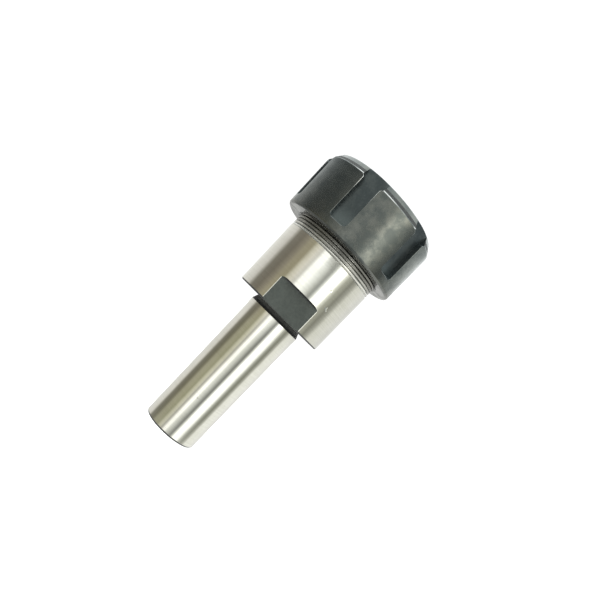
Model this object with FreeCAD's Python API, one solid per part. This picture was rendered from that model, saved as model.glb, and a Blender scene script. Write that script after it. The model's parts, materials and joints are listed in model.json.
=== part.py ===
import FreeCAD, Part
import math
import os

# Straight-shank spring collet chuck, size 25, in millimetres.
# The tool axis is Z: the shank end stands on Z = 0 and the clamping nut is on top.
# The two wrench flats face -Y and +Y. Every solid is given in the tightened state.

# ---- Holder body: shank, undercut, body with wrench flats, threaded nose ----
shank_d = 19.05                # ground shank, 3/4 inch
shank_len = 48.9               # ground length, up to the undercut
shank_end_chamfer = 0.6
undercut_len = 1.9             # grinding relief between the shank and the body
undercut_depth = 0.75          # how far the relief tapers inward at the body's rear face
body_d = 32.0
body_len = 22.4                # from the body's rear face to its front edge
body_rear_chamfer = 0.4
body_front_chamfer = 0.3
flats_across = 28.575          # wrench size, 1 1/8 inch
flats_len = 9.0                # from the body's rear face to the end wall
flat_corner_r = 1.0            # tool radius in the corner of floor and end wall

# ---- Nose thread of 1 mm pitch, carried here as plain running cylinders ----
thread_d = 32.0
thread_clearance = 0.05        # radial, between the nose and the nut
thread_relief_len = 0.3        # run-out groove between the body and the first turn
thread_relief_depth = 0.35
nose_len = 15.4                # from the body's front edge to the nose face
nose_chamfer = 1.0

# ---- Bores of the holder ----
stop_bore_d = 10.5             # through bore of the shank
stop_bore_chamfer = 0.6
socket_floor_gap = 3.0         # free length of taper behind the collet
relief_bore_len = 4.0          # plain drilled stretch below the taper
drill_point_deg = 59.0         # half angle of the drilled cone

# ---- Spring collet ----
taper_deg = 8.0                # half angle of the clamping taper
taper_gap = 0.05               # normal gap to the socket
collet_len = 34.0
collet_taper_d = 26.0          # large end of the taper
collet_rear_chamfer = 0.5
shoulder_chamfer = 0.3
shoulder_above_nose = 0.9      # large end of the taper stands proud of the nose face
groove_d = 22.8                # pull-out groove
groove_len = 2.2
head_d = 24.8
head_land_len = 0.6
head_cone_deg = 30.0           # half angle of the front clamping cone
head_cone_len = 3.8
tool_bore_d = 12.7             # 1/2 inch tool shank
tool_bore_chamfer = 0.4
clamp_len = 24.0               # gripping length of the tool bore, from the collet's face
bore_relief = 0.6              # radial step behind the gripping length
slit_pairs = 8                 # slits cut from the front, and as many from the rear
slit_w = 1.0
front_slit_web = 4.5           # metal left at the rear end by a slit cut from the front
rear_slit_web = 6.0            # metal left at the front end by a slit cut from the rear
slit_end_rise = 2.0            # how much less deep the saw leaves the slit at the bore

# ---- Clamping nut ----
nut_d = 42.0
nut_len = 20.0
nut_face_above_collet = 0.5    # the collet's face lies this deep in the nut
nut_rear_edge = 0.8            # broken corner at the rear, cut in two steps
nut_front_step = 0.6           # radial height of the steep edge in front of the lands
nut_front_step_len = 0.85
nut_front_cone_len = 1.9
nut_front_cone_drop = 1.0      # radial drop of the shallow cone
nut_mouth_chamfer = 0.8        # countersink where the thread starts
nut_relief_len = 1.8           # thread run-out groove at the bottom of the nut
nut_relief_depth = 0.5
nose_gap = 0.7                 # nose face to the wall inside the nut
shoulder_gap = 0.3             # radial, round the collet's shoulder
lip_len = 1.4                  # eccentric pull-out lip
lip_d = 24.0
lip_offset = 0.5
head_gap = 0.3                 # radial, round the collet's head
cone_gap = 0.05                # normal gap of the two clamping cones
nut_front_bore_d = 21.2
nut_front_countersink = 0.6
slot_count = 6
slot_w = 6.0
slot_depth = 2.0
slot_rear_wall = 3.0           # full land left behind each spanner slot
slot_corner_r = 1.0            # cutter radius at the closed end of a slot
slot_phase_deg = 11.2          # first slot, from +X towards +Y

# ---- Derived stations along the tool axis ----
body_rear_z = shank_len + undercut_len
body_front_z = body_rear_z + body_len
nose_z = body_front_z + nose_len
shoulder_z = nose_z + shoulder_above_nose
groove_rear_z = shoulder_z + shoulder_chamfer
groove_front_z = groove_rear_z + groove_len
head_cone_z = groove_front_z + head_land_len
collet_front_z = head_cone_z + head_cone_len
collet_rear_z = collet_front_z - collet_len
socket_floor_z = collet_rear_z - socket_floor_gap
nut_front_z = collet_front_z + nut_face_above_collet
nut_rear_z = nut_front_z - nut_len
nut_wall_z = nose_z + nose_gap
lip_rear_z = (groove_rear_z + groove_front_z - lip_len) / 2
lip_front_z = lip_rear_z + lip_len

taper_slope = math.tan(math.radians(taper_deg))
cone_slope = math.tan(math.radians(head_cone_deg))
overrun = 1.0                  # how far a cutting tool runs past the metal
AXIS = FreeCAD.Vector(0, 0, 1)
CENTRE = FreeCAD.Vector(0, 0, 0)


def turned(points):
    """Solid of revolution about the tool axis from a closed (radius, height) outline."""
    corners = [FreeCAD.Vector(r, 0, z) for r, z in points]
    outline = Part.makePolygon(corners + corners[:1])
    return Part.Face(outline).revolve(CENTRE, AXIS, 360)


def drill(diameter, z_low, z_high):
    """Cylinder on the tool axis."""
    return Part.makeCylinder(diameter / 2, z_high - z_low, FreeCAD.Vector(0, 0, z_low), AXIS)


def spun(shape, angle_deg):
    """Copy of a shape turned about the tool axis."""
    copy = shape.copy()
    copy.rotate(CENTRE, AXIS, angle_deg)
    return copy


def collet_taper_r(z):
    """Radius of the collet's clamping taper at a height."""
    return collet_taper_d / 2 - (shoulder_z - z) * taper_slope


def socket_r(z):
    """Radius of the holder's socket: the collet's taper and the gap beyond it."""
    return collet_taper_r(z) + taper_gap / math.cos(math.radians(taper_deg))


def holder_blank():
    """Turned outside of the holder, from the shank end to the nose."""
    shank_r = shank_d / 2
    body_r = body_d / 2
    thread_r = thread_d / 2 - thread_clearance
    relief_r = thread_r - thread_relief_depth
    relief_end_z = body_front_z + thread_relief_len
    return turned([
        (0, 0),
        (shank_r - shank_end_chamfer, 0),
        (shank_r, shank_end_chamfer),
        (shank_r, shank_len),
        (shank_r - undercut_depth, body_rear_z),
        (body_r - body_rear_chamfer, body_rear_z),
        (body_r, body_rear_z + body_rear_chamfer),
        (body_r, body_front_z - body_front_chamfer),
        (body_r - body_front_chamfer, body_front_z),
        (relief_r, body_front_z),
        (relief_r, relief_end_z),
        (thread_r, relief_end_z + thread_relief_depth),
        (thread_r, nose_z - nose_chamfer),
        (thread_r - nose_chamfer, nose_z),
        (0, nose_z),
    ])


def holder_bores():
    """Taper socket, drilled relief with its cone, and the through bore of the shank."""
    stop_r = stop_bore_d / 2
    relief_r = socket_r(socket_floor_z)
    relief_floor_z = socket_floor_z - relief_bore_len
    point_len = (relief_r - stop_r) / math.tan(math.radians(drill_point_deg))
    return turned([
        (0, -overrun),
        (stop_r + stop_bore_chamfer + overrun, -overrun),
        (stop_r, stop_bore_chamfer),
        (stop_r, relief_floor_z - point_len),
        (relief_r, relief_floor_z),
        (relief_r, socket_floor_z),
        (socket_r(nose_z + overrun), nose_z + overrun),
        (0, nose_z + overrun),
    ])


def flat_cutter():
    """Block that mills the wrench flat facing +Y, with the cutter's corner radius."""
    reach = body_d / 2 + overrun
    block = Part.makeBox(
        2 * reach,
        reach - flats_across / 2,
        flats_len + undercut_len / 2,
        FreeCAD.Vector(-reach, flats_across / 2, body_rear_z - undercut_len / 2),
    )
    end_z = body_rear_z + flats_len
    corner = [e for e in block.Edges if is_edge_at(e, flats_across / 2, end_z)]
    return block.makeFillet(flat_corner_r, corner)


def is_edge_at(edge, y, z):
    """True for a straight edge along X at the given Y and Z."""
    middle = edge.CenterOfMass
    return abs(middle.y - y) < 1e-6 and abs(middle.z - z) < 1e-6


def holder():
    """The one-piece hardened and ground holder."""
    cutter = flat_cutter()
    body = holder_blank().cut(holder_bores())
    return body.cut([cutter, spun(cutter, 180)])


def collet_blank():
    """Turned collet: taper, pull-out groove, head and clamping cone, with its bore."""
    rear_r = collet_taper_r(collet_rear_z)
    rear_edge_z = collet_rear_z + collet_rear_chamfer
    head_r = head_d / 2
    face_r = head_r - head_cone_len * cone_slope
    bore_r = tool_bore_d / 2
    relief_r = bore_r + bore_relief
    clamp_end_z = collet_front_z - clamp_len
    return turned([
        (relief_r, collet_rear_z),
        (rear_r - collet_rear_chamfer, collet_rear_z),
        (collet_taper_r(rear_edge_z), rear_edge_z),
        (collet_taper_d / 2, shoulder_z),
        (collet_taper_d / 2 - shoulder_chamfer, groove_rear_z),
        (groove_d / 2, groove_rear_z),
        (groove_d / 2, groove_front_z),
        (head_r, groove_front_z),
        (head_r, head_cone_z),
        (face_r, collet_front_z),
        (bore_r + tool_bore_chamfer, collet_front_z),
        (bore_r, collet_front_z - tool_bore_chamfer),
        (bore_r, clamp_end_z),
        (relief_r, clamp_end_z - bore_relief),
    ])


def slit_cutter(open_z, end_z):
    """Saw slit along +X, from past an open end to its end, which slopes as the saw leaves it."""
    reach = collet_taper_d / 2 + overrun
    rise = slit_end_rise if open_z > end_z else -slit_end_rise
    corners = [
        FreeCAD.Vector(0, -slit_w / 2, open_z),
        FreeCAD.Vector(reach, -slit_w / 2, open_z),
        FreeCAD.Vector(reach, -slit_w / 2, end_z),
        FreeCAD.Vector(0, -slit_w / 2, end_z + rise),
    ]
    outline = Part.makePolygon(corners + corners[:1])
    return Part.Face(outline).extrude(FreeCAD.Vector(0, slit_w, 0))


def collet():
    """Spring collet, slit alternately from the front and from the rear."""
    from_front = slit_cutter(collet_front_z + overrun, collet_rear_z + front_slit_web)
    from_rear = slit_cutter(collet_rear_z - overrun, collet_front_z - rear_slit_web)
    step = 360 / slit_pairs
    cutters = []
    for index in range(slit_pairs):
        cutters.append(spun(from_front, index * step))
        cutters.append(spun(from_rear, (index + 0.5) * step))
    return collet_blank().cut(cutters)


def nut_blank():
    """Turned outside of the nut with the steep edge and shallow cone at its front."""
    outer_r = nut_d / 2
    step_r = outer_r - nut_front_step
    cone_r = step_r - nut_front_cone_drop
    cone_z = nut_front_z - nut_front_cone_len
    steep = nut_rear_edge * (1 - math.sqrt(0.5))
    return turned([
        (0, nut_rear_z),
        (outer_r - nut_rear_edge, nut_rear_z),
        (outer_r - steep, nut_rear_z + steep),
        (outer_r, nut_rear_z + nut_rear_edge),
        (outer_r, cone_z - nut_front_step_len),
        (step_r, cone_z),
        (cone_r, nut_front_z),
        (0, nut_front_z),
    ])


def nut_bores():
    """Thread bore, run-out groove, shoulder recess, head recess, cone and front bore."""
    thread_r = thread_d / 2
    groove_r = thread_r + nut_relief_depth
    groove_z = nut_wall_z - nut_relief_len
    shoulder_r = collet_taper_d / 2 + shoulder_gap
    head_r = head_d / 2 + head_gap
    front_r = nut_front_bore_d / 2
    cone_start_r = head_d / 2 + cone_gap / math.cos(math.radians(head_cone_deg))
    cone_end_z = head_cone_z + (cone_start_r - front_r) / cone_slope
    cone_back_z = head_cone_z - (head_r - cone_start_r) / cone_slope
    mouth_r = thread_r + nut_mouth_chamfer
    rear = turned([
        (0, nut_rear_z - overrun),
        (mouth_r + overrun, nut_rear_z - overrun),
        (thread_r, nut_rear_z + nut_mouth_chamfer),
        (thread_r, groove_z),
        (groove_r, groove_z + nut_relief_depth),
        (groove_r, nut_wall_z),
        (shoulder_r, nut_wall_z),
        (shoulder_r, lip_rear_z),
        (0, lip_rear_z),
    ])
    front = turned([
        (0, lip_front_z),
        (head_r, lip_front_z),
        (head_r, cone_back_z),
        (front_r, cone_end_z),
        (front_r, nut_front_z - nut_front_countersink),
        (front_r + nut_front_countersink + overrun, nut_front_z + overrun),
        (0, nut_front_z + overrun),
    ])
    lip = drill(lip_d, lip_rear_z - overrun, lip_front_z + overrun)
    lip.translate(FreeCAD.Vector(lip_offset, 0, 0))
    return [rear, front, lip]


def slot_cutter():
    """Spanner slot along +X, open at the front, with a rounded closed end."""
    floor_x = nut_d / 2 - slot_depth
    low_z = nut_rear_z + slot_rear_wall
    block = Part.makeBox(
        slot_depth + overrun,
        slot_w,
        nut_front_z + overrun - low_z,
        FreeCAD.Vector(floor_x, -slot_w / 2, low_z),
    )
    corners = [e for e in block.Edges if is_slot_corner(e, low_z)]
    return block.makeFillet(slot_corner_r, corners)


def is_slot_corner(edge, z):
    """True for the two edges along X where the slot's walls meet its closed end."""
    middle = edge.CenterOfMass
    at_wall = abs(abs(middle.y) - slot_w / 2) < 1e-6
    return at_wall and abs(middle.z - z) < 1e-6


def nut():
    """Clamping nut with its spanner slots and eccentric pull-out lip."""
    cutters = nut_bores()
    slot = slot_cutter()
    for index in range(slot_count):
        cutters.append(spun(slot, slot_phase_deg + index * 360 / slot_count))
    return nut_blank().cut(cutters)


os.makedirs("parts", exist_ok=True)

holder_shape = holder()
holder_shape.exportStep("parts/holder.step")

collet_shape = collet()
collet_shape.exportStep("parts/collet.step")

nut_shape = nut()
nut_shape.exportStep("parts/nut.step")
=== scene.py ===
import json
import math
import bmesh
import bpy
import numpy as np
from mathutils import Matrix, Vector


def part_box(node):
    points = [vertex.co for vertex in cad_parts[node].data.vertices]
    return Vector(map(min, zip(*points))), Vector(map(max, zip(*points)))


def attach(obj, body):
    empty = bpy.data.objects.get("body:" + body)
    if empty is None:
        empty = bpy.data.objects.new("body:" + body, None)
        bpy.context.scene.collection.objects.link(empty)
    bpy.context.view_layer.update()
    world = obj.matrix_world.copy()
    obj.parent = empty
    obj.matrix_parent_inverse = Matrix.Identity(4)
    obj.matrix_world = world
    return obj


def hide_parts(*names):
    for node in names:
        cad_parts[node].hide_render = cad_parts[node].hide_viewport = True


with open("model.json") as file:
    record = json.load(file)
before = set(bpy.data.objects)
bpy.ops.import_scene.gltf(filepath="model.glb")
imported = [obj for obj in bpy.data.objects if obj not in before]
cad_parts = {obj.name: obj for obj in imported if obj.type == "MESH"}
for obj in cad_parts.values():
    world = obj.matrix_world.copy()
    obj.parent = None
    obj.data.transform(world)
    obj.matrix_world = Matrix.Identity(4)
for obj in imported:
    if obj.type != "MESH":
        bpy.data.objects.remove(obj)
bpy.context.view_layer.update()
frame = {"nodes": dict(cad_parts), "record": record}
print("frame loaded:", sorted(frame["nodes"]))

mm = 0.001                               # shapes are worked out in millimetres, meshes hold metres
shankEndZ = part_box("holder")[0].z / mm
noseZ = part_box("holder")[1].z / mm
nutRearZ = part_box("nut")[0].z / mm
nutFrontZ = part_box("nut")[1].z / mm
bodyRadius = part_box("holder")[1].x / mm
nutRadius = 21.0
pitch = 2000 * math.pi * frame["record"]["behaviour"]["couplings"][0]["ratio"]   # climb of one turn


# an outline with rounded corners: each corner (radius, height, rounding) becomes an arc
# tangent to its two sides, as far from the corner as rounding / tan(half the opening);
# step is the angle in degrees between points of an arc
def roundedLine(corners, step=15):
    points = []
    for index, (x, y, r) in enumerate(corners):
        here = np.array((x, y), float)
        before = np.array(corners[index - 1][:2], float) - here
        after = np.array(corners[(index + 1) % len(corners)][:2], float) - here
        lengthIn, lengthOut = np.hypot(*before), np.hypot(*after)
        before, after = before / lengthIn, after / lengthOut
        opening = math.acos(max(-1.0, min(1.0, float(before @ after))))
        if r <= 0 or opening > math.pi - 0.02:
            points.append(here[None])
            continue
        reach = min(r / math.tan(opening / 2), 0.49 * lengthIn, 0.49 * lengthOut)
        radius = reach * math.tan(opening / 2)
        middle = (before + after) / np.hypot(*(before + after))
        centre = here + middle * radius / math.sin(opening / 2)
        first, last = here + before * reach - centre, here + after * reach - centre
        sweep = math.pi - opening
        t = np.linspace(0, 1, max(3, int(math.degrees(sweep) / step) + 1))[:, None]
        arc = (np.sin((1 - t) * sweep) * first + np.sin(t * sweep) * last) / math.sin(sweep)
        points.append(centre + arc)
    return np.concatenate(points)


# a closed skin from rings of points: column j of ring i is joined to column j of ring i + 1,
# every ring closes on itself and the last ring meets the first
def ringSkin(name, rings, paintGrid, paints, body):
    count, columns = rings.shape[:2]
    lower = np.arange(count * columns).reshape(count, columns)
    upper = np.roll(lower, -1, 0)
    faces = np.stack([lower, np.roll(lower, -1, 1), np.roll(upper, -1, 1), upper], -1).reshape(-1, 4)
    return finishPiece(name, rings.reshape(-1, 3), faces.tolist(), paintGrid.reshape(-1), paints, body)


def finishPiece(name, points, faces, paintIndex, paints, body, sharp=24):
    mesh = bpy.data.meshes.new(name)
    mesh.from_pydata((points * mm).tolist(), [], faces)
    for paint in paints:
        mesh.materials.append(paint)
    mesh.polygons.foreach_set("material_index", np.asarray(paintIndex, np.int32))
    work = bmesh.new()
    work.from_mesh(mesh)
    bmesh.ops.remove_doubles(work, verts=work.verts, dist=0.002 * mm)
    bmesh.ops.dissolve_degenerate(work, dist=0.001 * mm, edges=work.edges)
    bmesh.ops.recalc_face_normals(work, faces=work.faces)
    work.to_mesh(mesh)
    work.free()
    mesh.polygons.foreach_set("use_smooth", np.ones(len(mesh.polygons), bool))
    mesh.set_sharp_from_angle(angle=math.radians(sharp))
    piece = bpy.data.objects.new(name, mesh)
    bpy.context.scene.collection.objects.link(piece)
    weighted = piece.modifiers.new("evenShading", "WEIGHTED_NORMAL")
    weighted.keep_sharp = True
    weighted.weight = 100
    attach(piece, body)
    print(name, "has", len(mesh.polygons), "faces")
    return piece


# a circle of points about the tool axis
def circleAt(radius, angles, z, shiftX=0.0):
    x, y = radius * np.cos(angles) + shiftX, radius * np.sin(angles)
    return np.stack([x, y, np.full(len(angles), z)], -1)


# a socket of a node tree, with arithmetic
class Wire:
    def __init__(self, tree, socket=None):
        self.tree = tree
        self.socket = socket

    def add(self, kind, settings=None, values=None, output=0):
        node = self.tree.nodes.new(kind)
        for key, value in (settings or {}).items():
            if key == "stops":
                self.fillRamp(node.color_ramp, value)
            else:
                setattr(node, key, value)
        for key, value in (values or {}).items():
            if isinstance(value, Wire):
                self.tree.links.new(value.socket, node.inputs[key])
            else:
                node.inputs[key].default_value = value
        return Wire(self.tree, node.outputs[output]) if node.outputs else node

    def fillRamp(self, ramp, stops):
        while len(ramp.elements) < len(stops):
            ramp.elements.new(0.5)
        for element, (place, shade) in zip(ramp.elements, stops):
            element.position = place
            element.color = shade

    def output(self, index):
        return Wire(self.tree, self.socket.node.outputs[index])

    def maths(self, operation, *others):
        values = dict(enumerate((self, *others)))
        return self.add("ShaderNodeMath", {"operation": operation}, values)

    def __add__(self, other):
        return self.maths("ADD", other)

    __radd__ = __add__

    def __sub__(self, other):
        return self.maths("SUBTRACT", other)

    def __rsub__(self, other):
        return self.maths("MULTIPLY", -1.0) + other

    def __mul__(self, other):
        return self.maths("MULTIPLY", other)

    __rmul__ = __mul__

    def __truediv__(self, other):
        return self.maths("DIVIDE", other)

    # 0 below low, 1 above high, smooth between
    def ramped(self, low, high):
        values = {0: self, 1: low, 2: high, 3: 0.0, 4: 1.0}
        return self.add("ShaderNodeMapRange", {"interpolation_type": "SMOOTHSTEP"}, values)

    # the first colour where this is 0, the second where it is 1
    def mixed(self, first, second):
        return self.add("ShaderNodeMix", {"data_type": "RGBA"}, {0: self, 6: first, 7: second}, 2)


def shade(r, g, b):
    return (r, g, b, 1.0)


def newPaint(name, build):
    paint = bpy.data.materials.new(name)
    paint.use_nodes = True
    paint.node_tree.nodes.clear()
    wire = Wire(paint.node_tree)
    shader = wire.add("ShaderNodeBsdfPrincipled", None, build(wire))
    wire.add("ShaderNodeOutputMaterial", None, {"Surface": shader})
    return paint


def objectPlace(wire):
    return wire.add("ShaderNodeTexCoord", None, None, 3)


def noise(wire, place, scale, detail=2.0, rough=0.5, stretch=None):
    if stretch:
        values = {"Vector": place, "Scale": stretch}
        place = wire.add("ShaderNodeMapping", {"vector_type": "POINT"}, values)
    values = {"Vector": place, "Scale": scale, "Detail": detail, "Roughness": rough}
    return wire.add("ShaderNodeTexNoise", None, values)


# 1 at a point of the surface, 0 beyond the given size
def dentAt(wire, place, point, size):
    centre = Vector(point) * mm
    away = wire.add("ShaderNodeVectorMath", {"operation": "DISTANCE"}, {0: place, 1: centre}, 1)
    return 1 - away.ramped(0.3 * size * mm, size * mm)


# a bump from a height pattern, its depth in metres
def bumpFrom(wire, height, strength, depth):
    values = {"Strength": strength, "Distance": depth, "Height": height}
    return wire.add("ShaderNodeBump", None, values)


# how far up the tool axis a point lies, in metres
def heightOf(wire, place):
    return wire.add("ShaderNodeSeparateXYZ", None, {0: place}, 2)


coating = {
    "grainScale": 1500.0,
    "turningScale": 30.0,
    "turningStretch": (1.0, 1.0, 120.0),     # tool marks run round the axis
    "bumpStrength": 0.3,
    "bumpDepth": 0.000008,
}


def coatingGrain(wire, place):
    return noise(wire, place, coating["grainScale"], 3.0, 0.6)


def turningMarks(wire, place):
    return noise(wire, place, coating["turningScale"], 2.0, 0.5, coating["turningStretch"])


def coatingBump(wire, height):
    return bumpFrom(wire, height, coating["bumpStrength"], coating["bumpDepth"])


groundSteel = {
    "bright": shade(0.69, 0.69, 0.65),
    "dull": shade(0.60, 0.60, 0.55),
    "stained": shade(0.16, 0.15, 0.13),
    "rough": 0.07,
    "roughMore": 0.05,
    "roughStain": 0.25,
    "grindScale": 26.0,
    "grindStretch": (1.0, 1.0, 190.0),       # lines run round the axis
    "grindHeight": 0.12,
    "hazeScale": 190.0,
    "cloudScale": 60.0,
    "speckleScale": 2600.0,
    "nickDepth": 9.0,
    "nicks": [((8.44, -13.6, 61.84), 0.55), ((8.9, -13.3, 61.2), 0.35), ((6.01, -14.83, 66.1), 0.4)],
    "stain": ((-0.36, -9.52, 15.45), 0.45),
    "bumpStrength": 0.5,
    "bumpDepth": 0.00001,
}


# bright ground faces: grinding lines, a haze of handling, a few nicks and one speckled stain
def groundSteelShader(wire):
    look = groundSteel
    place = objectPlace(wire)
    grind = noise(wire, place, look["grindScale"], 3.0, 0.6, look["grindStretch"])
    haze = noise(wire, place, look["hazeScale"], 4.0, 0.6)
    cloud = noise(wire, place, look["cloudScale"], 2.0, 0.5)
    worn = (grind * 0.4 + haze * 0.3 + cloud * 0.3).ramped(0.36, 0.66)
    nick = sum(dentAt(wire, place, point, size) for point, size in look["nicks"]) * (0.4 + haze)
    speckle = noise(wire, place, look["speckleScale"], 2.0, 0.7).ramped(0.45, 0.6)
    stain = dentAt(wire, place, *look["stain"]) * speckle
    height = grind * look["grindHeight"] - nick * look["nickDepth"]
    steel = worn.mixed(look["bright"], look["dull"])
    return {
        "Base Color": stain.mixed(steel, look["stained"]),
        "Metallic": 1.0,
        "Roughness": look["rough"] + look["roughMore"] * worn + look["roughStain"] * stain,
        "Normal": bumpFrom(wire, height, look["bumpStrength"], look["bumpDepth"]),
    }


holderOxide = {
    "deep": shade(0.031, 0.037, 0.033),
    "worn": shade(0.050, 0.057, 0.051),
    "rough": 0.44,
    "roughMore": 0.06,
    "cloudScale": 110.0,
}


# even matt coating on the milled and turned faces that stay unground
def holderOxideShader(wire):
    look = holderOxide
    place = objectPlace(wire)
    grain = coatingGrain(wire, place)
    cloud = noise(wire, place, look["cloudScale"], 3.0, 0.5)
    worn = (grain * 0.35 + cloud * 0.65).ramped(0.36, 0.66)
    return {
        "Base Color": worn.mixed(look["deep"], look["worn"]),
        "Metallic": 0.5,
        "Roughness": look["rough"] + look["roughMore"] * worn,
        "Normal": coatingBump(wire, grain),
    }


cornerOxide = {
    "deep": shade(0.014, 0.015, 0.015),
    "worn": shade(0.034, 0.035, 0.033),
    "rough": 0.42,
    "roughMore": 0.08,
}


# the same coating in corners and reliefs, made darker there: painted shade
def cornerShadeOxideShader(wire):
    look = cornerOxide
    place = objectPlace(wire)
    grain = coatingGrain(wire, place)
    turning = turningMarks(wire, place)
    worn = (grain * 0.5 + turning * 0.5).ramped(0.4, 0.7)
    return {
        "Base Color": worn.mixed(look["deep"], look["worn"]),
        "Metallic": 0.2,
        "Roughness": look["rough"] + look["roughMore"] * worn,
        "Normal": coatingBump(wire, turning),
    }


stepOxide = {
    "deep": shade(0.010, 0.011, 0.011),
    "worn": shade(0.026, 0.028, 0.027),
    "rough": 0.5,
    "roughMore": 0.1,
    "gloss": 0.2,
}


# the steep ring behind the front cone, dull black: painted shade, where the step lies in its own shadow
def stepShadeOxideShader(wire):
    look = stepOxide
    grain = coatingGrain(wire, objectPlace(wire)).ramped(0.35, 0.65)
    return {
        "Base Color": grain.mixed(look["deep"], look["worn"]),
        "Roughness": look["rough"] + look["roughMore"] * grain,
        "Specular IOR Level": look["gloss"],
    }


nutOxide = {
    "deep": shade(0.074, 0.083, 0.080),
    "worn": shade(0.118, 0.124, 0.114),
    "rough": 0.20,
    "roughMore": 0.10,
    "grainScale": 1300.0,
    "mottleScale": 330.0,
    "cloudScale": 70.0,
    "bumpStrength": 0.25,
    "bumpDepth": 0.00001,
}


# satin coating, handled on the lands: darker and lighter patches that only the highlight shows
def nutOxideShader(wire):
    look = nutOxide
    place = objectPlace(wire)
    grain = noise(wire, place, look["grainScale"], 3.0, 0.6)
    mottle = noise(wire, place, look["mottleScale"], 5.0, 0.6)
    cloud = noise(wire, place, look["cloudScale"], 2.0, 0.5)
    worn = (mottle * 0.6 + cloud * 0.3 + grain * 0.1).ramped(0.40, 0.62)
    return {
        "Base Color": worn.mixed(look["deep"], look["worn"]),
        "Metallic": 0.97,
        "Roughness": look["rough"] + look["roughMore"] * (1 - worn),
        "Normal": bumpFrom(wire, grain * 0.7 + mottle, look["bumpStrength"], look["bumpDepth"]),
    }


slotOxide = {
    "deep": shade(0.046, 0.056, 0.058),
    "worn": shade(0.070, 0.081, 0.081),
    "pale": shade(0.098, 0.118, 0.120),
    "paleShare": 0.8,
    "paleBelow": 0.0805,         # heights in metres between which the painted highlight ends
    "coatAbove": 0.0855,
    "paleWander": 0.004,
    "rough": 0.30,
    "roughMore": 0.08,
    "cloudScale": 240.0,
}


# blue-black milled faces of the spanner slots, with a painted highlight that makes them paler at the
# closed end
def slotOxideShader(wire):
    look = slotOxide
    place = objectPlace(wire)
    grain = coatingGrain(wire, place)
    cloud = noise(wire, place, look["cloudScale"], 3.0, 0.5)
    worn = (grain * 0.3 + cloud * 0.7).ramped(0.38, 0.66)
    edge = heightOf(wire, place) + (cloud - 0.5) * look["paleWander"]
    nearEndHighlight = 1 - edge.ramped(look["paleBelow"], look["coatAbove"])
    coat = worn.mixed(look["deep"], look["worn"])
    return {
        "Base Color": (nearEndHighlight * look["paleShare"]).mixed(coat, look["pale"]),
        "Metallic": 0.85,
        "Roughness": look["rough"] + look["roughMore"] * worn,
        "Normal": coatingBump(wire, grain),
    }


rubbedEdge = {
    "coat": shade(0.09, 0.10, 0.098),
    "thin": shade(0.135, 0.145, 0.14),
    "bare": shade(0.42, 0.43, 0.42),
    "rough": 0.3,
    "roughLess": 0.08,
    "rubScale": 400.0,
    # bright patches along the front edge: painted highlight
    "knocks": [((-2.4, -20.8, 94.2), 6.5), ((-9.9, -18.5, 93.6), 5.0), ((11.0, -17.9, 94.0), 1.8)],
}


# rubbed corners of the nut: the coating is thin; bright bare-looking patches along the front edge are
# painted highlight, where that edge catches the light
def rubbedEdgeShader(wire):
    look = rubbedEdge
    place = objectPlace(wire)
    rub = noise(wire, place, look["rubScale"], 3.0, 0.6).ramped(0.4, 0.62)
    knocks = [dentAt(wire, place, point, size) for point, size in look["knocks"]]
    patchHighlight = sum(knocks).maths("MINIMUM", 1.0)
    return {
        "Base Color": patchHighlight.mixed(rub.mixed(look["coat"], look["thin"]), look["bare"]),
        "Metallic": 0.95,
        "Roughness": look["rough"] - look["roughLess"] * rub,
    }


undercutOxide = {
    "deep": shade(0.010, 0.011, 0.011),
    "rubbed": shade(0.055, 0.056, 0.052),
    "rough": 0.42,
    "deepBelow": 0.0493,         # heights in metres between which the less shaded part begins
    "rubbedAbove": 0.0503,
    "wander": 0.0012,
}


# the relief under the body, with painted shade: blackest beside the shank, lighter grey beside the body
def undercutShadeOxideShader(wire):
    look = undercutOxide
    place = objectPlace(wire)
    turning = turningMarks(wire, place)
    edge = heightOf(wire, place) + (turning - 0.5) * look["wander"]
    rubbed = edge.ramped(look["deepBelow"], look["rubbedAbove"])
    return {
        "Base Color": rubbed.mixed(look["deep"], look["rubbed"]),
        "Metallic": 0.3,
        "Roughness": look["rough"],
        "Normal": coatingBump(wire, turning),
    }


threadSteel = {
    # flanks: the crest's steel painted darker, painted shade in the thread's roots
    "flank": shade(0.36, 0.355, 0.32),
    "crest": shade(0.60, 0.60, 0.56),
    "oiled": shade(0.085, 0.084, 0.074),
    "oiledShare": 0.85,
    "dryBelow": 73.3,            # towards the nut the thread is painted darker: painted shade from the nut
    "oiledAbove": 75.7,
    "wander": 0.001,
    "rough": 0.16,
    "roughGrain": 0.14,
    "roughOiled": 0.08,
    "grainScale": 500.0,
    "bumpStrength": 0.3,
    "bumpDepth": 0.000006,
}


# cut thread: bright crests, flanks darker as painted shade in the roots, and painted shade darkening it
# towards the nut
def threadSteelShader(wire, ownTone):
    look = threadSteel
    place = objectPlace(wire)
    grain = noise(wire, place, look["grainScale"], 3.0, 0.6)
    edge = heightOf(wire, place) + (grain - 0.5) * look["wander"]
    oiled = edge.ramped(look["dryBelow"] * mm, look["oiledAbove"] * mm)
    return {
        "Base Color": (oiled * look["oiledShare"]).mixed(ownTone, look["oiled"]),
        "Metallic": 0.95,
        "Roughness": look["rough"] + look["roughGrain"] * grain + look["roughOiled"] * oiled,
        "Normal": bumpFrom(wire, grain, look["bumpStrength"], look["bumpDepth"]),
    }


def shadedThreadFlankShader(wire):
    return threadSteelShader(wire, threadSteel["flank"])


def threadCrestShader(wire):
    return threadSteelShader(wire, threadSteel["crest"])


springSteel = {
    "plain": shade(0.56, 0.555, 0.53),
    "straw": shade(0.50, 0.475, 0.42),
    "rough": 0.16,
    "roughMore": 0.1,
    "grindScale": 30.0,
    "grindStretch": (1.0, 1.0, 170.0),
    "tintScale": 80.0,
    "bumpStrength": 0.3,
    "bumpDepth": 0.000004,
}


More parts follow.
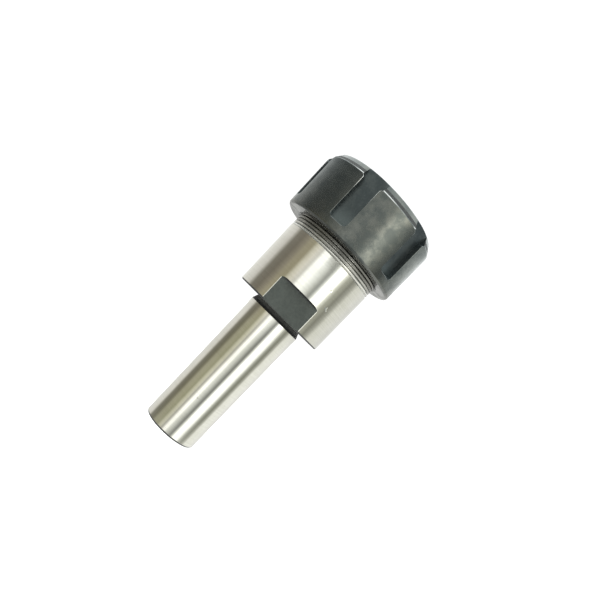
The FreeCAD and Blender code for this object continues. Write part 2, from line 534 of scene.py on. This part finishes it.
# tempered spring steel with a faint straw tint, finely ground
def springSteelShader(wire):
    look = springSteel
    place = objectPlace(wire)
    grind = noise(wire, place, look["grindScale"], 3.0, 0.6, look["grindStretch"])
    tint = noise(wire, place, look["tintScale"], 3.0, 0.5).ramped(0.4, 0.7)
    return {
        "Base Color": tint.mixed(look["plain"], look["straw"]),
        "Metallic": 1.0,
        "Roughness": look["rough"] + look["roughMore"] * grind,
        "Normal": bumpFrom(wire, grind, look["bumpStrength"], look["bumpDepth"]),
    }


groundPaint = newPaint("groundSteel", groundSteelShader)
holderOxidePaint = newPaint("holderOxide", holderOxideShader)
cornerShadePaint = newPaint("cornerOxide", cornerShadeOxideShader)
stepShadePaint = newPaint("stepOxide", stepShadeOxideShader)
undercutShadePaint = newPaint("undercutOxide", undercutShadeOxideShader)
nutPaint = newPaint("nutOxide", nutOxideShader)
slotPaint = newPaint("slotOxide", slotOxideShader)
rubbedPaint = newPaint("rubbedEdge", rubbedEdgeShader)
shadedFlankPaint = newPaint("threadFlank", shadedThreadFlankShader)
crestPaint = newPaint("threadCrest", threadCrestShader)
springPaint = newPaint("springSteel", springSteelShader)
print("finishes mixed")


holderShape = {
    "shankRadius": 9.525,
    "shankChamfer": 0.6,
    "shankTop": 48.9,            # the undercut starts here
    "undercutDrop": 0.75,
    "bodyRear": 50.8,
    "bodyFront": 73.2,
    "rearChamfer": 0.4,
    "frontChamfer": 0.3,
    "flatHalf": 14.2875,         # axis to wrench flat
    "flatTop": 59.8,
    "flatCorner": 1.0,           # cutter's corner radius
    "flatEdge": 0.12,            # broken long edges of the flats
    "flatOutside": 15.0,         # rings smaller than this belong to the rear face
    "threadCrest": 15.95,
    "threadRoot": 15.76,
    "noseChamfer": 1.0,
    "socketMouth": 12.92,
    "socketFloor": 59.4,
    "socketFloorRadius": 8.82,
    "drillTop": 55.4,
    "drillTip": 53.25,
    "boreRadius": 5.25,
    "boreChamfer": 0.6,
    "flatColumns": 24,
    "sideColumns": 60,
}


# one ring of the holder: half a turn is a flat line at x = flatX, a rounded edge
# (1-t)^2 A + 2 t (1-t) C + t^2 B, and a circle's arc; the other half is its mirror
def holderRing(shape, radius, z, flatX, reach):
    s = shape
    share = np.linspace(-1, 1, s["flatColumns"] + 1)
    t = np.linspace(0, 1, 5)[1:, None]
    edge = s["flatEdge"]
    edgeAngle = reach + edge / bodyRadius
    lastArc = np.array([math.cos(edgeAngle), math.sin(edgeAngle)]) * radius
    if flatX is None:
        flatAngle = share * (reach - edge / bodyRadius)
        across = radius * np.stack([np.cos(flatAngle), np.sin(flatAngle)], -1)
        turn = (reach - edge / bodyRadius) + t * 2 * edge / bodyRadius
        corner = radius * np.concatenate([np.cos(turn), np.sin(turn)], -1)
    else:
        width = radius * math.sin(reach) - edge
        across = np.stack([np.full(len(share), flatX), share * width], -1)
        tip = np.array([flatX, width + edge])
        corner = (1 - t) ** 2 * across[-1] + 2 * t * (1 - t) * tip + t ** 2 * lastArc
    sweep = edgeAngle + np.linspace(0, 1, s["sideColumns"] + 1)[1:-1] * (math.pi - 2 * edgeAngle)
    side = radius * np.stack([np.cos(sweep), np.sin(sweep)], -1)
    otherCorner = (corner * (-1, 1))[::-1]
    half = np.concatenate([across, corner, side, otherCorner])
    whole = np.concatenate([half, -half])
    whole = np.stack([whole[:, 1], -whole[:, 0]], -1)            # the first flat faces -Y
    return np.concatenate([whole, np.full((len(whole), 1), z)], -1)


# the rings go up the outside of the holder, over the nose and down its bores
def holderRings(shape):
    s = shape
    lowReach = math.acos(s["flatHalf"] / bodyRadius)
    highReach = math.acos((s["flatHalf"] + s["flatCorner"]) / bodyRadius)
    r, c = s["shankRadius"], s["shankChamfer"]
    rear = roundedLine([
        (s["boreRadius"] + s["boreChamfer"], shankEndZ, 0),
        (r - c, shankEndZ, 0.08),
        (r, shankEndZ + c, 0.12),
        (r, s["shankTop"], 0.05),
        (r - s["undercutDrop"], s["bodyRear"], 0.1),
        (bodyRadius - s["rearChamfer"], s["bodyRear"], 0.05),
        (bodyRadius, s["bodyRear"] + s["rearChamfer"], 0.08),
        (bodyRadius, s["flatTop"] - s["flatCorner"], 0),
        (bodyRadius, s["bodyFront"], 0),
    ])[:-1]
    front = roundedLine([
        (bodyRadius, s["flatTop"], 0),
        (bodyRadius, s["bodyFront"] - s["frontChamfer"], 0.1),
        (bodyRadius - s["frontChamfer"], s["bodyFront"], 0.05),
        (s["threadRoot"], s["bodyFront"], 0.05),
        (s["threadRoot"], noseZ - s["noseChamfer"], 0.1),
        (s["threadCrest"] - s["noseChamfer"], noseZ, 0.1),
        (s["socketMouth"] + 0.2, noseZ, 0.05),
        (s["socketMouth"], noseZ - 0.2, 0.05),
        (s["socketFloorRadius"], s["socketFloor"], 0.05),
        (s["socketFloorRadius"], s["drillTop"], 0.05),
        (s["boreRadius"], s["drillTip"], 0.05),
        (s["boreRadius"], shankEndZ + s["boreChamfer"], 0.05),
        (s["boreRadius"] + s["boreChamfer"], shankEndZ, 0),
    ])[:-1]
    rings, paints = [], []
    ground, oxide, corner, flank, undercut = range(5)
    for radius, z in rear:
        cut = radius > s["flatHalf"] + 0.02
        reach = math.acos(s["flatHalf"] / radius) if cut else lowReach
        rings.append(holderRing(s, radius, z, s["flatHalf"] if cut else None, reach))
        polished = r - 0.03 < radius < r + 0.01 and z < s["shankTop"] - 0.03
        relief = radius < r + 0.01 and z > s["shankTop"] - 0.03
        shining = polished or radius > bodyRadius - 0.01
        # faces that are neither ground nor relief take the darker corner coat: painted shade
        paints.append(ground if shining else undercut if relief else corner)
    for turn in np.radians(np.linspace(15, 90, 6)):
        flatX = s["flatHalf"] + s["flatCorner"] * (1 - math.cos(turn))
        z = s["flatTop"] - s["flatCorner"] * (1 - math.sin(turn))
        rings.append(holderRing(s, bodyRadius, z, flatX, math.acos(flatX / bodyRadius)))
        paints.append(ground)
    flatEnd = len(rings)
    for radius, z in front:
        rings.append(holderRing(s, radius, z, None, highReach))
        inTaper = s["socketFloorRadius"] + 0.1 < radius < s["socketMouth"] + 0.1 and z < noseZ - 0.1
        onThread = abs(radius - s["threadRoot"]) < 0.05
        plain = radius > bodyRadius - 0.25 or inTaper or abs(z - noseZ) < 0.01
        paints.append(ground if plain else flank if onThread else corner)
    rings, paints = np.array(rings), np.array(paints)
    grid = np.repeat(paints[:, None], rings.shape[1], 1)
    flatStart = int(np.flatnonzero(rings[:, 0, 2] > s["bodyRear"] - 0.01)[0])
    columns = np.arange(s["flatColumns"])
    columns = np.concatenate([columns, columns + rings.shape[1] // 2])
    edges = np.concatenate([np.arange(-4, 0), np.arange(s["flatColumns"], s["flatColumns"] + 4)])
    edges = np.concatenate([edges, edges + rings.shape[1] // 2])
    rows = np.arange(flatStart, flatEnd)
    middleSide = -s["sideColumns"] // 2
    rows = rows[np.hypot(rings[rows, middleSide, 0], rings[rows, middleSide, 1]) > s["flatOutside"]]
    grid[np.ix_(rows, columns)] = oxide
    grid[np.ix_(rows[-6:], edges)] = oxide
    # the ends of the flats, by their end wall, take the darker corner coat: painted shade
    grid[np.ix_(rows[-5:], columns)] = corner
    return rings, grid


rings, grid = holderRings(holderShape)
holderPaints = [groundPaint, holderOxidePaint, cornerShadePaint, shadedFlankPaint, undercutShadePaint]
holderSkin = ringSkin("holderBody", rings, grid, holderPaints, "holder_body")
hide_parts("holder")


noseThreadShape = {
    "start": 72.85,
    "end": 88.1,
    "root": 15.76,
    "crest": 15.95,
    "width": 0.98,               # share of the pitch
    "sharpness": 0.7,
}
nutThreadShape = {
    "start": 78.05,
    "end": 87.3,
    "root": 16.02,
    "crest": 15.8,
    "width": 0.5,
    "sharpness": 1.0,
}
threadDetail = {"stepsPerTurn": 110, "fadeTurns": 0.35, "columns": 11, "sunk": 0.08, "crestAbove": 0.45}


# a ridge wound at z = start + pitch * turns: its section is cos(x)^(2 * sharpness) over its
# width, given as a share of the pitch, and its height fades over the last part of a turn
def threadRidge(name, shape, body):
    s, d = shape, threadDetail
    turns = (s["end"] - s["start"]) / pitch
    t = np.linspace(0, turns, int(turns * d["stepsPerTurn"]))
    fade = np.clip(np.minimum(t, turns - t) / d["fadeTurns"], 0, 1)
    fade = 0.02 + 0.98 * fade * fade * (3 - 2 * fade)
    across = np.linspace(-1, 1, d["columns"])
    height = np.append(np.abs(np.cos(across * math.pi / 2)) ** (2 * s["sharpness"]), (0, 0))
    share = np.append(across, (1, -1)) * s["width"] / 2
    sunk = np.append(0 * across, (1, 1)) * d["sunk"] * np.sign(s["root"] - s["crest"])
    radius = s["root"] + (s["crest"] - s["root"]) * height * fade[:, None] + sunk
    z = s["start"] + pitch * (t[:, None] + share)
    angle = 2 * math.pi * t[:, None] + 0 * share
    points = np.stack([radius * np.cos(angle), radius * np.sin(angle), z], -1)
    count, columns = points.shape[:2]
    corner = np.arange(count * columns).reshape(count, columns)
    along, beyond = corner[:-1], corner[1:]
    faces = np.stack([along, np.roll(along, -1, 1), np.roll(beyond, -1, 1), beyond], -1).reshape(-1, 4)
    caps = [corner[0][::-1].tolist(), corner[-1].tolist()]
    crest = (height > d["crestAbove"]) & (np.roll(height, -1) > d["crestAbove"])
    paint = np.tile(np.where(crest, 0, 1), count - 1)
    return finishPiece(name, points.reshape(-1, 3), faces.tolist() + caps, np.append(paint, [1, 1]),
                       [crestPaint, shadedFlankPaint], body, 60)


noseThread = threadRidge("noseThread", noseThreadShape, "holder_body")
nutThread = threadRidge("nutThread", nutThreadShape, "nut_body")


nutShape = {
    "slots": 6,
    "slotWidth": 6.0,
    "slotFloor": 19.0,           # axis to the floor of a slot
    "slotStart": 3.0,            # full land behind the slots
    "slotCorner": 1.0,
    "slotPhase": 11.2,
    "slotEdge": 0.2,             # rounding of the long edges
    "closedEdge": 0.2,           # rounding of the edge at the closed end
    "mouthFlare": 0.75,          # rounding of the lands' front corners
    "flareSetback": 0.3,         # where that rounding ends, behind the step
    "rearRound": 0.8,
    "stepDrop": 0.6,
    "stepLength": 0.85,
    "stepEdge": 0.5,
    "darkStep": 0.3,             # how far the step's painted shade runs on to the cone
    "frontRound": 1.0,
    "coneLength": 1.9,
    "coneDrop": 1.35,
    "frontBore": 10.6,
    "countersink": 0.6,
    "innerConeStart": 92.6,
    "innerConeRadius": 12.458,
    "headRecess": 12.7,
    "lipFront": 91.6,
    "lipRear": 90.2,
    "lipRadius": 12.0,
    "lipOffset": 0.5,
    "shoulderRecess": 13.3,
    "wall": 89.3,
    "grooveRadius": 16.5,
    "grooveRear": 87.5,
    "threadBore": 16.0,
    "mouth": 0.8,
    "landColumns": 18,
    "floorColumns": 10,
}


# a sixth of a ring, centred on a slot: floor, wall, rounded edge and land; depth goes
# from 0, the full circle, to 1, the slot at its full depth
def nutSixth(shape, radius, half, depth):
    s = shape
    floorX = s["slotFloor"]
    floorY = half * np.linspace(0, 1, s["floorColumns"] // 2 + 1)
    topX = math.sqrt(radius ** 2 - half ** 2)
    wallHeight = max(0.0, topX - floorX)
    edge = min(s["slotEdge"], wallHeight * 0.45)
    turn = np.radians(np.linspace(0, 90, 5))[1:]
    wallX = np.array([floorX + wallHeight * 0.3, floorX + wallHeight * 0.65, topX - edge])
    slotX = np.concatenate([np.full(len(floorY), floorX), wallX, topX - edge * (1 - np.sin(turn))])
    slotY = np.concatenate([floorY, np.full(3, half), half + edge * (1 - np.cos(turn))])
    circleX = np.sqrt(radius ** 2 - slotY ** 2)
    x = np.minimum(circleX + depth * (slotX - circleX), circleX)
    landStart = math.asin((half + s["slotEdge"]) / radius)
    land = np.linspace(landStart, math.pi / s["slots"], s["landColumns"] // 2 + 1)
    landPart = radius * np.stack([np.cos(land), np.sin(land)], -1)
    part = np.concatenate([np.stack([x, slotY], -1), landPart])
    mirrored = part[1:-1][::-1] * (1, -1)
    return np.concatenate([mirrored, part])


def nutRing(shape, radius, z, half, depth):
    part = nutSixth(shape, radius, half, depth)
    angles = np.radians(shape["slotPhase"] + np.arange(shape["slots"]) * 360 / shape["slots"])
    turn = np.stack([np.stack([np.cos(angles), -np.sin(angles)], -1),
                     np.stack([np.sin(angles), np.cos(angles)], -1)], 1)
    whole = np.einsum("kij,nj->kni", turn, part).reshape(-1, 2)
    return np.concatenate([whole, np.full((len(whole), 1), z)], -1)


# the rings go up the outside, with the slot's half width w - c + sqrt(c^2 - (c - height)^2)
# at its closed end, over the front cone, and down through the bores to the thread's mouth
def nutRings(shape):
    s = shape
    slotZ = nutRearZ + s["slotStart"]
    coneZ = nutFrontZ - s["coneLength"]
    landZ = coneZ - s["stepLength"]
    stepRadius = nutRadius - s["stepDrop"]
    coneRadius = stepRadius - s["coneDrop"]
    fullHalf, cornerR, flare = s["slotWidth"] / 2, s["slotCorner"], s["mouthFlare"]
    flareZ = landZ - s["flareSetback"]
    narrow = fullHalf - cornerR
    plain, slot, rubbed, deep = range(4)
    rings, paints = [], []

    def put(radius, z, half, depth, paint=plain):
        rings.append(nutRing(s, radius, z, half, depth))
        paints.append(paint)

    rear = roundedLine([
        (s["threadBore"] + s["mouth"], nutRearZ, 0),
        (nutRadius, nutRearZ, s["rearRound"]),
        (nutRadius, slotZ, 0),
    ], 10)[:-1]
    for radius, z in rear:
        put(radius, z, narrow, 0)
    closedEdge = s["closedEdge"]
    for turn in np.radians(np.linspace(0, 90, 5)):
        sunk = closedEdge * (1 - math.cos(turn)) / (nutRadius - s["slotFloor"])
        put(nutRadius, slotZ - closedEdge * (1 - math.sin(turn)), narrow, sunk)
    slotStart = len(rings) - 1
    for turn in np.radians(np.linspace(0, 90, 7)):
        put(nutRadius, slotZ + cornerR * (1 - math.cos(turn)), narrow + cornerR * math.sin(turn), 1)
    front = roundedLine([
        (nutRadius, landZ - 3, 0),
        (nutRadius, landZ, s["stepEdge"]),
        (stepRadius, coneZ, 0.12),
        (coneRadius, nutFrontZ, s["frontRound"]),
        (s["frontBore"] + s["countersink"], nutFrontZ, 0),
    ], 7)
    stepShadeEnd = (stepRadius - s["darkStep"] * s["coneDrop"] / s["coneLength"], coneZ + s["darkStep"])
    front = np.insert(front, int(np.flatnonzero(front[:, 1] > stepShadeEnd[1])[0]), stepShadeEnd, 0)
    front = front[(front[:, 0] > coneRadius - 1.5) & (front[:, 1] > landZ - 1)]
    flareTurn = np.radians(np.linspace(0, 90, 6))[:-1]
    for turn in flareTurn:
        half = fullHalf + flare * (1 - math.cos(turn))
        put(nutRadius, flareZ - flare * (1 - math.sin(turn)), half, 1)
    for radius, z in front:
        onEdge = flareZ < z < landZ + 0.1
        # the step, and a little of the cone past it, take the deep paint: painted shade
        onStep = landZ < z < stepShadeEnd[1] - 0.01
        put(radius, z, fullHalf + flare, 1, rubbed if onEdge else deep if onStep else plain)
    outer = np.array(rings)
    angle = np.arctan2(outer[0][:, 1], outer[0][:, 0])
    coneSlope = math.sqrt(3)                                     # 30 degrees to the axis
    coneAhead = s["innerConeRadius"] - s["frontBore"]
    coneBehind = s["headRecess"] - s["innerConeRadius"]
    inner = roundedLine([
        (coneRadius - 1.6, nutFrontZ, 0),
        (s["frontBore"] + s["countersink"], nutFrontZ, 0.1),
        (s["frontBore"], nutFrontZ - s["countersink"], 0.05),
        (s["frontBore"], s["innerConeStart"] + coneAhead * coneSlope, 0.05),
        (s["headRecess"], s["innerConeStart"] - coneBehind * coneSlope, 0.05),
        (s["headRecess"], s["lipFront"], 0),
    ])
    innerRings = [circleAt(radius, angle, z) for radius, z in inner]
    lip = (s["lipFront"], s["lipRear"])
    innerRings += [circleAt(s["lipRadius"], angle, z, s["lipOffset"]) for z in lip]
    back = roundedLine([
        (s["shoulderRecess"], s["lipRear"], 0),
        (s["shoulderRecess"], s["wall"], 0.05),
        (s["grooveRadius"], s["wall"], 0.05),
        (s["grooveRadius"], s["grooveRear"] + 0.5, 0),
        (s["threadBore"], s["grooveRear"], 0),
        (s["threadBore"], nutRearZ + s["mouth"], 0),
        (s["threadBore"] + s["mouth"], nutRearZ, 0),
    ])[:-1]
    innerRings += [circleAt(radius, angle, z) for radius, z in back]
    allRings = np.concatenate([outer, np.array(innerRings)])
    rowPaints = np.append(paints, np.zeros(len(innerRings), int))
    grid = np.repeat(rowPaints[:, None], allRings.shape[1], 1)
    sixth = allRings.shape[1] // s["slots"]
    halfFloor = s["floorColumns"] // 2
    wallColumns, edgeColumns = 3, 4
    # column of a slot's centre line
    middle = sixth - (halfFloor + 1 + wallColumns + edgeColumns + s["landColumns"] // 2 + 1)
    start = middle + sixth * np.arange(s["slots"])[:, None]
    wallTop = halfFloor + wallColumns
    inSlot = (start + np.arange(-wallTop, wallTop)).reshape(-1)
    edges = np.arange(wallTop, wallTop + edgeColumns)
    onEdges = (start + np.append(edges, -1 - edges)).reshape(-1)
    rows = np.arange(slotStart, len(outer) - 1)
    rows = rows[np.hypot(*allRings[rows, 0, :2].T) > s["slotFloor"] + 0.05]
    grid[np.ix_(rows, inSlot)] = slot
    landRows = rows[allRings[rows, 0, 2] < landZ + 0.05]
    grid[np.ix_(landRows, onEdges)] = rubbed
    grid[np.ix_(np.arange(slotStart - 4, slotStart), np.append(inSlot, onEdges))] = rubbed
    return allRings, grid


rings, grid = nutRings(nutShape)
nutPaints = [nutPaint, slotPaint, rubbedPaint, stepShadePaint]
nutSkin = ringSkin("clampingNut", rings, grid, nutPaints, "nut_body")
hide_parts("nut")


colletNode = frame["nodes"]["collet"]
colletNode.data.materials.clear()
colletNode.data.materials.append(springPaint)
print("collet finished")


floorLook = {
    "radius": 3000.0,
    "sides": 96,
    "tone": shade(0.82, 0.82, 0.81),
    "rough": 0.9,
    "glow": 0.42,
}


def floorShader(wire):
    return {
        "Base Color": floorLook["tone"],
        "Roughness": floorLook["rough"],
        "Emission Color": shade(1, 1, 1),
        "Emission Strength": floorLook["glow"],
    }


# pale and matt; it lets glossy rays through, so polished steel mirrors the room and not the floor
def makeFloor():
    paint = newPaint("paleFloor", floorShader)
    wire = Wire(paint.node_tree)
    output = next(n for n in paint.node_tree.nodes if n.type == "OUTPUT_MATERIAL")
    matt = Wire(paint.node_tree, output.inputs["Surface"].links[0].from_socket)
    mirrored = wire.add("ShaderNodeLightPath", None, None, 3)
    clear = wire.add("ShaderNodeBsdfTransparent")
    both = joined(wire, mirrored, matt, clear)
    paint.node_tree.links.new(both.socket, output.inputs["Surface"])
    angles = np.linspace(0, 2 * math.pi, floorLook["sides"] + 1)[:-1]
    points = circleAt(floorLook["radius"], angles, shankEndZ - 0.02) * mm
    mesh = bpy.data.meshes.new("floor")
    mesh.from_pydata(points.tolist(), [], [list(range(len(points)))])
    mesh.materials.append(paint)
    floor = bpy.data.objects.new("floor", mesh)
    bpy.context.scene.collection.objects.link(floor)


# soft boxes and flags round the holder, by compass angle from the -Y side towards +X:
# low ones for the shank, level ones for the body, high ones for the nut
room = {
    "low": [
        (-180, (1.0, 1.0, 0.97)), (-148, (0.97, 0.96, 0.93)), (-120, (1.0, 0.98, 0.93)),
        (-111, (0.94, 0.91, 0.85)), (-105, (0.58, 0.56, 0.50)), (-99, (0.29, 0.275, 0.225)),
        (-85, (0.235, 0.22, 0.165)), (-78, (0.28, 0.265, 0.19)), (-70, (0.47, 0.45, 0.33)),
        (-62, (0.50, 0.48, 0.345)), (-48, (0.45, 0.44, 0.30)), (-40, (0.77, 0.745, 0.58)),
        (-33, (0.82, 0.80, 0.66)), (-27, (0.55, 0.54, 0.48)), (-22, (0.95, 0.93, 0.86)),
        (-18, (1.6, 1.58, 1.5)), (-10, (1.7, 1.7, 1.62)), (-4, (1.08, 1.09, 1.02)),
        (6, (0.75, 0.76, 0.71)), (15, (0.33, 0.335, 0.31)), (20, (0.34, 0.345, 0.32)),
        (26, (1.2, 1.21, 1.15)), (31, (2.1, 2.1, 2.0)), (46, (2.1, 2.1, 2.0)),
        (56, (1.0, 1.01, 0.95)), (65, (0.42, 0.425, 0.36)), (73, (0.33, 0.335, 0.28)),
        (82, (0.62, 0.62, 0.55)), (90, (1.2, 1.2, 1.12)), (120, (1.22, 1.22, 1.17)),
        (145, (1.02, 1.01, 0.99)), (180, (1.0, 1.0, 0.97)),
    ],
    "level": [
        (-180, (0.9, 0.9, 0.87)), (-148, (1.0, 0.99, 0.94)), (-126, (0.93, 0.91, 0.87)),
        (-114, (0.83, 0.80, 0.76)), (-107, (0.54, 0.52, 0.47)), (-100, (0.28, 0.26, 0.22)),
        (-82, (0.245, 0.22, 0.18)), (-70, (0.35, 0.315, 0.25)), (-62, (0.45, 0.41, 0.30)),
        (-50, (0.44, 0.40, 0.28)), (-43, (0.82, 0.785, 0.65)), (-36, (1.02, 0.975, 0.86)),
        (-26, (0.88, 0.865, 0.81)), (-20, (1.6, 1.6, 1.55)), (-8, (1.65, 1.67, 1.6)),
        (-2, (1.4, 1.42, 1.38)), (5, (1.12, 1.14, 1.08)), (13, (0.66, 0.67, 0.63)),
        (18, (0.42, 0.43, 0.405)), (23, (0.8, 0.82, 0.79)), (28, (2.0, 2.02, 1.95)),
        (32, (2.6, 2.6, 2.5)), (44, (2.6, 2.6, 2.4)), (50, (1.1, 1.11, 1.0)),
        (58, (0.54, 0.54, 0.46)), (65, (0.47, 0.47, 0.40)), (71, (0.33, 0.33, 0.28)),
        (82, (0.54, 0.54, 0.48)), (92, (0.97, 0.97, 0.89)), (118, (1.01, 1.01, 0.96)),
        (141, (0.89, 0.89, 0.86)), (180, (0.9, 0.9, 0.87)),
    ],
    "high": [
        (-180, (1.1, 1.15, 1.15)), (-134, (0.9, 0.95, 0.96)), (-120, (0.66, 0.7, 0.72)),
        (-106, (0.46, 0.5, 0.52)), (-90, (0.32, 0.355, 0.365)), (-71, (0.32, 0.35, 0.36)),
        (-58, (0.42, 0.445, 0.45)), (-38, (0.85, 0.88, 0.86)), (-20, (0.98, 1.0, 0.95)),
        (-11, (1.36, 1.38, 1.32)), (0, (1.32, 1.34, 1.3)), (13, (1.6, 1.62, 1.52)),
        (20, (1.6, 1.6, 1.48)), (26, (3.0, 2.95, 2.7)), (31, (4.2, 4.1, 3.7)),
        (42, (4.2, 4.1, 3.65)), (49, (2.4, 2.35, 2.1)), (58, (1.3, 1.33, 1.25)),
        (66, (0.72, 0.78, 0.77)), (72, (0.3, 0.34, 0.37)), (88, (0.42, 0.47, 0.5)),
        (100, (1.1, 1.18, 1.2)), (116, (1.5, 1.58, 1.58)), (134, (1.5, 1.56, 1.54)),
        (180, (1.1, 1.15, 1.15)),
    ],
    "brightest": 4.2,
    "lowFrom": (-0.5, -0.2),                 # sines of the angle above level where a row takes over
    "levelFrom": (-0.05, 0.02),
    "highFrom": (0.146, 0.178),
    "overheadFrom": (0.35, 0.65),
    "flagFrom": (0.475, 0.497),              # a flag before the level row, as shares of the turn
    "flagTo": (0.536, 0.55),
    "flagAbove": (0.112, 0.142),
    "flagDimming": 0.65,
    "under": 0.55,
    "underMore": 1.3,                        # added towards +X
    "underTone": shade(1, 1, 0.98),
    "overhead": 2.2,
    "overheadTone": shade(0.96, 1, 1),
    "white": 1.1,                            # what the camera sees beyond the floor
}


# a row of the room as a colour ramp round the turn, its stops as shares of the brightest one
def compassRamp(wire, name, share, dimming=1.0):
    most = room["brightest"]
    stops = [((angle + 180) / 360, shade(r / most, g / most, b / most))
             for angle, (r, g, b) in room[name]]
    tone = wire.add("ShaderNodeValToRGB", {"stops": stops}, {0: share})
    return wire.add("ShaderNodeBackground", None, {"Color": tone, "Strength": most * dimming})


def plainSide(wire, tone, strength):
    return wire.add("ShaderNodeBackground", None, {"Color": tone, "Strength": strength})


def joined(wire, share, first, second):
    return wire.add("ShaderNodeMixShader", None, {0: share, 1: first, 2: second})


def makeRoom():
    world = bpy.data.worlds.new("room")
    bpy.context.scene.world = world
    world.use_nodes = True
    world.node_tree.nodes.clear()
    wire = Wire(world.node_tree)
    x = wire.add("ShaderNodeSeparateXYZ", None, {0: wire.add("ShaderNodeTexCoord")})
    y, z = x.output(1), x.output(2)
    share = x.maths("ARCTAN2", y * -1.0) / (2 * math.pi) + 0.5
    flag = share.ramped(*room["flagFrom"]) * (1 - share.ramped(*room["flagTo"]))
    flag = flag * z.ramped(*room["flagAbove"])
    low = compassRamp(wire, "low", share)
    level = compassRamp(wire, "level", share, 1 - flag * room["flagDimming"])
    high = compassRamp(wire, "high", share)
    towardsX = x.maths("MAXIMUM", 0.0)
    under = plainSide(wire, room["underTone"], room["under"] + room["underMore"] * towardsX)
    above = plainSide(wire, room["overheadTone"], room["overhead"])
    whole = joined(wire, z.ramped(*room["lowFrom"]), under, low)
    whole = joined(wire, z.ramped(*room["levelFrom"]), whole, level)
    whole = joined(wire, z.ramped(*room["highFrom"]), whole, high)
    whole = joined(wire, z.ramped(*room["overheadFrom"]), whole, above)
    white = plainSide(wire, shade(1, 1, 1), room["white"])
    seen = wire.add("ShaderNodeLightPath", None, None, 0)
    both = joined(wire, seen, whole, white)
    wire.add("ShaderNodeOutputWorld", None, {"Surface": both})


softLight = {"place": (-160.0, -120.0, 480.0), "size": 400.0, "power": 3.0}


def makeLight():
    lamp = bpy.data.lights.new("overhead", "AREA")
    lamp.shape = "DISK"
    lamp.size = softLight["size"] * mm
    lamp.energy = softLight["power"]
    stand = bpy.data.objects.new("overhead", lamp)
    stand.location = Vector(softLight["place"]) * mm
    stand.rotation_euler = (-stand.location).to_track_quat("-Z", "Y").to_euler()
    stand.visible_glossy = False
    bpy.context.scene.collection.objects.link(stand)


cameraSetup = {
    "place": (-4.96, -186.63, 50.04),
    "aim": (27.42, 0.0, 26.77),
    "roll": -44.7,               # the shank end turns to the lower left
    "lens": 34.88,
    "shift": (0.021, 0.2117),
    "sensor": 36.0,
}


def makeCamera():
    s = cameraSetup
    camera = bpy.data.cameras.new("camera")
    camera.sensor_width = s["sensor"]
    camera.lens = s["lens"]
    camera.shift_x, camera.shift_y = s["shift"]
    camera.clip_start = 0.01
    place, aim = Vector(s["place"]) * mm, Vector(s["aim"]) * mm
    look = (aim - place).normalized()
    right = look.cross(Vector((0, 0, 1))).normalized()
    roll = math.radians(s["roll"])
    up = right.cross(look) * math.cos(roll) + right * math.sin(roll)
    turn = Matrix((look.cross(up), up, -look)).transposed()
    stand = bpy.data.objects.new("camera", camera)
    stand.matrix_world = Matrix.Translation(place) @ turn.to_4x4()
    bpy.context.scene.collection.objects.link(stand)
    bpy.context.scene.camera = stand


makeFloor()
makeRoom()
makeLight()
makeCamera()
bpy.context.scene.view_settings.view_transform = "Standard"
print("stage ready")
